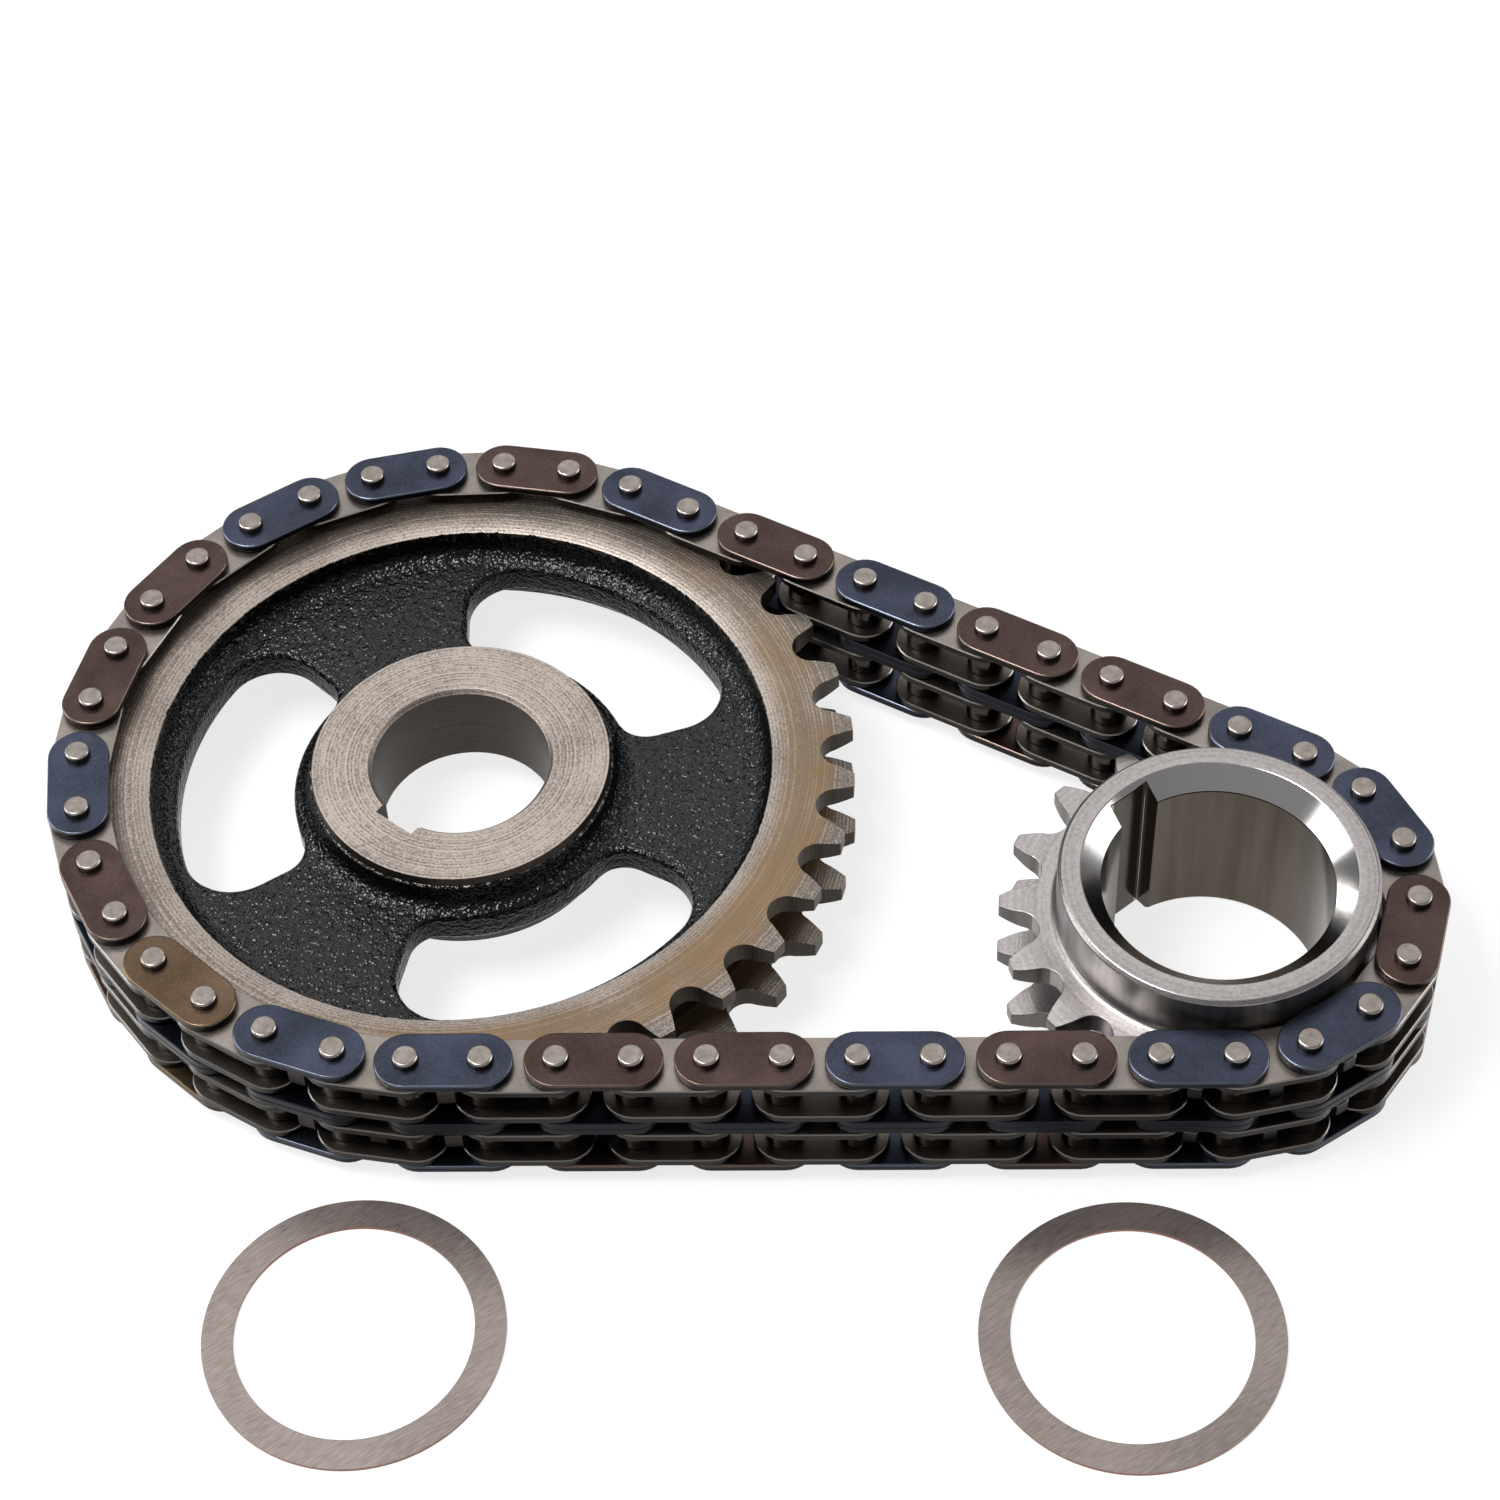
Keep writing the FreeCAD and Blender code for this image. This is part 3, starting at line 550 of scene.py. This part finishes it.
def turnedSteel(name, look):
    # bright turned steel, not plated: polished cone, matt end ring and collar, key slot, bore and teeth
    # darkened with painted shade
    material, tree, shader = newMaterial(name)
    perMm = look["perMm"]
    place, flat, radius, height = roundAxis(tree, (chain["crankX"], 0, 0))
    ringPlace = add(tree, "CombineXYZ", {"X": radius, "Y": height}).outputs[0]
    rings = add(tree, "TexNoise", {"Vector": ringPlace, "Scale": perMm["rings"],
                                   "Detail": 3.0}).outputs["Fac"]
    speck = add(tree, "TexNoise", {"Vector": place, "Scale": perMm["speck"], "Detail": 3.0}).outputs["Fac"]
    tone = add(tree, "Mix", {"Factor": 0.5, 2: rings, 3: speck}).outputs[0]
    dark, light = look["mattTones"]
    matt = add(tree, "ValToRGB", {"Fac": tone},
               [(dark, hexColour(look["mattDark"])), (light, hexColour(look["matt"]))]).outputs[0]
    level = levelness(tree)
    flatFace = add(tree, "MapRange", {"Value": level, "From Min": 0.8, "From Max": 0.95}).outputs[0]
    onCone = add(tree, "Math", {0: radius, 1: look["coneR"]}, operation="LESS_THAN").outputs[0]
    polished = add(tree, "Math", {0: 1.0, 1: flatFace}, operation="SUBTRACT").outputs[0]
    polished = add(tree, "Math", {0: polished, 1: onCone}, operation="MULTIPLY").outputs[0]
    colour = add(tree, "Mix", {"Factor": polished, 6: matt, 7: hexColour(look["bright"])},
                 data_type="RGBA").outputs[2]
    wall = add(tree, "Math", {0: level, 1: 0.5}, operation="LESS_THAN").outputs[0]
    # painted shade on the upright faces of the teeth, collar, key slot and bore
    for reach, shade, most in look["walls"]:
        inside = add(tree, "Math", {0: radius, 1: reach}, operation="LESS_THAN").outputs[0]
        inside = add(tree, "Math", {0: inside, 1: wall}, operation="MULTIPLY").outputs[0]
        cover = add(tree, "Math", {0: inside, 1: most}, operation="MULTIPLY").outputs[0]
        colour = add(tree, "Mix", {"Factor": cover, 6: colour, 7: hexColour(shade)},
                     data_type="RGBA").outputs[2]
    long = add(tree, "Mapping", {"Vector": place, "Scale": (1.0, 1.0, look["streakStretch"])}).outputs[0]
    streak = add(tree, "TexNoise", {"Vector": long, "Scale": perMm["streak"], "Detail": 4.0}).outputs["Fac"]
    streak = add(tree, "MapRange", {"Value": streak, "From Min": 0.3, "From Max": 0.7,
                                    "To Min": 0.0, "To Max": look["streakCover"]}).outputs[0]
    streak = add(tree, "Math", {0: streak, 1: wall}, operation="MULTIPLY").outputs[0]
    colour = add(tree, "Mix", {"Factor": streak, 6: colour, 7: hexColour(look["streak"])},
                 data_type="RGBA").outputs[2]
    # painted shade darkens the tooth sides that lie in the chain
    turn = add(tree, "VectorMath", {0: flat}, operation="NORMALIZE").outputs[0]
    turn = add(tree, "SeparateXYZ", {"Vector": turn}).outputs[0]
    clear, covered = look["shadeSide"]
    inChain = add(tree, "MapRange", {"Value": turn, "From Min": clear, "From Max": covered,
                                     "To Min": 0.0, "To Max": look["shadeCover"]}).outputs[0]
    tooth = add(tree, "Math", {0: radius, 1: look["toothR"]}, operation="GREATER_THAN").outputs[0]
    tooth = add(tree, "Math", {0: tooth, 1: wall}, operation="MULTIPLY").outputs[0]
    tooth = add(tree, "Math", {0: tooth, 1: inChain}, operation="MULTIPLY").outputs[0]
    colour = add(tree, "Mix", {"Factor": tooth, 6: colour, 7: hexColour(look["shadedTooth"])},
                 data_type="RGBA").outputs[2]
    rough = add(tree, "Mix", {"Factor": polished, 2: look["mattRough"], 3: look["coneRough"]}).outputs[0]
    bump = add(tree, "Bump", {"Height": tone, "Strength": look["bump"],
                              "Distance": look["relief"] * mm}).outputs[0]
    tree.links.new(colour, shader.inputs["Base Color"])
    shader.inputs["Metallic"].default_value = 1.0
    tree.links.new(rough, shader.inputs["Roughness"])
    tree.links.new(bump, shader.inputs["Normal"])
    return material


edgesBroken("cam_sprocket", "cam_sprocket.finished", "cam_drive",
            paintedCasting("machinedBlackPaintedIron", cam), cam["edge"])
edgesBroken("crank_sprocket", "crank_sprocket.finished", "crank_drive",
            turnedSteel("brightTurnedSteel", crank), crank["edge"])
shimSteel = temperedSteel("groundShimSteel", {
    "dark": "#786e6a", "light": "#948984", "cornerHighlight": "#9c7a68", "side": "#8a5f4c", "patch": 14, "grain": 0.25,
    "roughness": 0.3, "bump": 0.5, "metallic": 0.7, "scratch": 7.0, "grainShow": 0.65})
for name in ("shim_left", "shim_right"):
    frame["nodes"][name].material_slots[0].material = shimSteel
print("sprockets and shims finished")

bench = {"gap": 0.02 * mm, "half": 8.0, "colour": "#8e8e8e", "lift": 0.77}    # metres, and a share of white

bm = bmesh.new()
bmesh.ops.create_grid(bm, x_segments=1, y_segments=1, size=bench["half"])
bmesh.ops.translate(bm, vec=(0, 0, cadBox[0].z - bench["gap"]), verts=bm.verts)
benchMesh = bpy.data.meshes.new("bench")
bm.to_mesh(benchMesh)
bm.free()
benchTop = bpy.data.objects.new("bench", benchMesh)
bpy.context.scene.collection.objects.link(benchTop)
paper = bpy.data.materials.new("whitePaper")    # matt sheet that shows white to the eye and in reflections
paper.use_nodes = True
tree = paper.node_tree
tree.nodes.clear()
rays = add(tree, "LightPath").outputs
seen = add(tree, "Math", {0: rays["Is Camera Ray"], 1: rays["Is Glossy Ray"]}, operation="MAXIMUM").outputs[0]
seen = add(tree, "Math", {0: seen, 1: rays["Is Transmission Ray"]}, operation="MAXIMUM").outputs[0]
lift = add(tree, "Math", {0: seen, 1: bench["lift"]}, operation="MULTIPLY").outputs[0]
glow = add(tree, "Emission", {"Color": (1, 1, 1, 1), "Strength": lift}).outputs[0]
matt = add(tree, "BsdfDiffuse", {"Color": hexColour(bench["colour"])}).outputs[0]
add(tree, "OutputMaterial", {"Surface": add(tree, "AddShader", {0: matt, 1: glow}).outputs[0]})
benchMesh.materials.append(paper)

room = {"low": 0.14, "high": 0.4, "highAt": 0.9}    # grey of the world from level up to nearly overhead

world = bpy.data.worlds.new("studio")
world.use_nodes = True
bpy.context.scene.world = world
tree = world.node_tree
tree.nodes.clear()
aim = add(tree, "SeparateXYZ", {"Vector": add(tree, "TexCoord").outputs["Generated"]}).outputs
grey = add(tree, "ValToRGB", {"Fac": aim[2]}, [(0.0, [room["low"]] * 3 + [1]),
                                               (room["highAt"], [room["high"]] * 3 + [1])]).outputs[0]
add(tree, "OutputWorld", {"Surface": add(tree, "Background", {"Color": grey, "Strength": 1.0}).outputs[0]})

lamps = {    # metres and watts
    "overhead": {"at": (-0.16, 0.49, 0.53), "size": (0.9, 0.8), "watts": 2.4},
    "top": {"at": (-0.28, -0.18, 0.80), "size": (0.42, 0.32), "watts": 7.0},
    "left": {"at": (-0.75, -0.10, 0.31), "size": (0.5, 0.45), "watts": 2.2},
    "right": {"at": (0.82, 0.38, 0.26), "size": (0.6, 0.3), "watts": 1.8},
}
kitMiddle = Vector((0.045, 0.0, 0.0))
for name, lamp in lamps.items():
    light = bpy.data.lights.new(name, "AREA")
    light.shape = "RECTANGLE"
    light.size, light.size_y = lamp["size"]
    light.energy = lamp["watts"]
    holder = bpy.data.objects.new(name, light)
    holder.location = lamp["at"]
    holder.rotation_euler = (kitMiddle - Vector(lamp["at"])).to_track_quat("-Z", "Y").to_euler()
    bpy.context.scene.collection.objects.link(holder)

# The eye's place, film width and focal length in millimetres, its nearest visible distance in metres
view = {"place": (130.93, -286.03, 391.66), "ahead": (-0.18792, 0.59968, -0.77786),
        "up": (-0.1839, 0.7565, 0.6276), "lens": 87.45, "sensor": 36, "nearest": 0.01}
ahead = Vector(view["ahead"]).normalized()
right = ahead.cross(Vector(view["up"])).normalized()
lookAt = Matrix((right, right.cross(ahead), -ahead)).transposed().to_4x4()
lens = bpy.data.cameras.new("camera")
lens.lens = view["lens"]
lens.sensor_width = view["sensor"]
lens.clip_start = view["nearest"]
camera = bpy.data.objects.new("camera", lens)
camera.matrix_world = Matrix.Translation(Vector(view["place"]) * mm) @ lookAt
bpy.context.scene.collection.objects.link(camera)
bpy.context.scene.camera = camera
bpy.context.scene.view_settings.view_transform = "Standard"
print("scene lit")
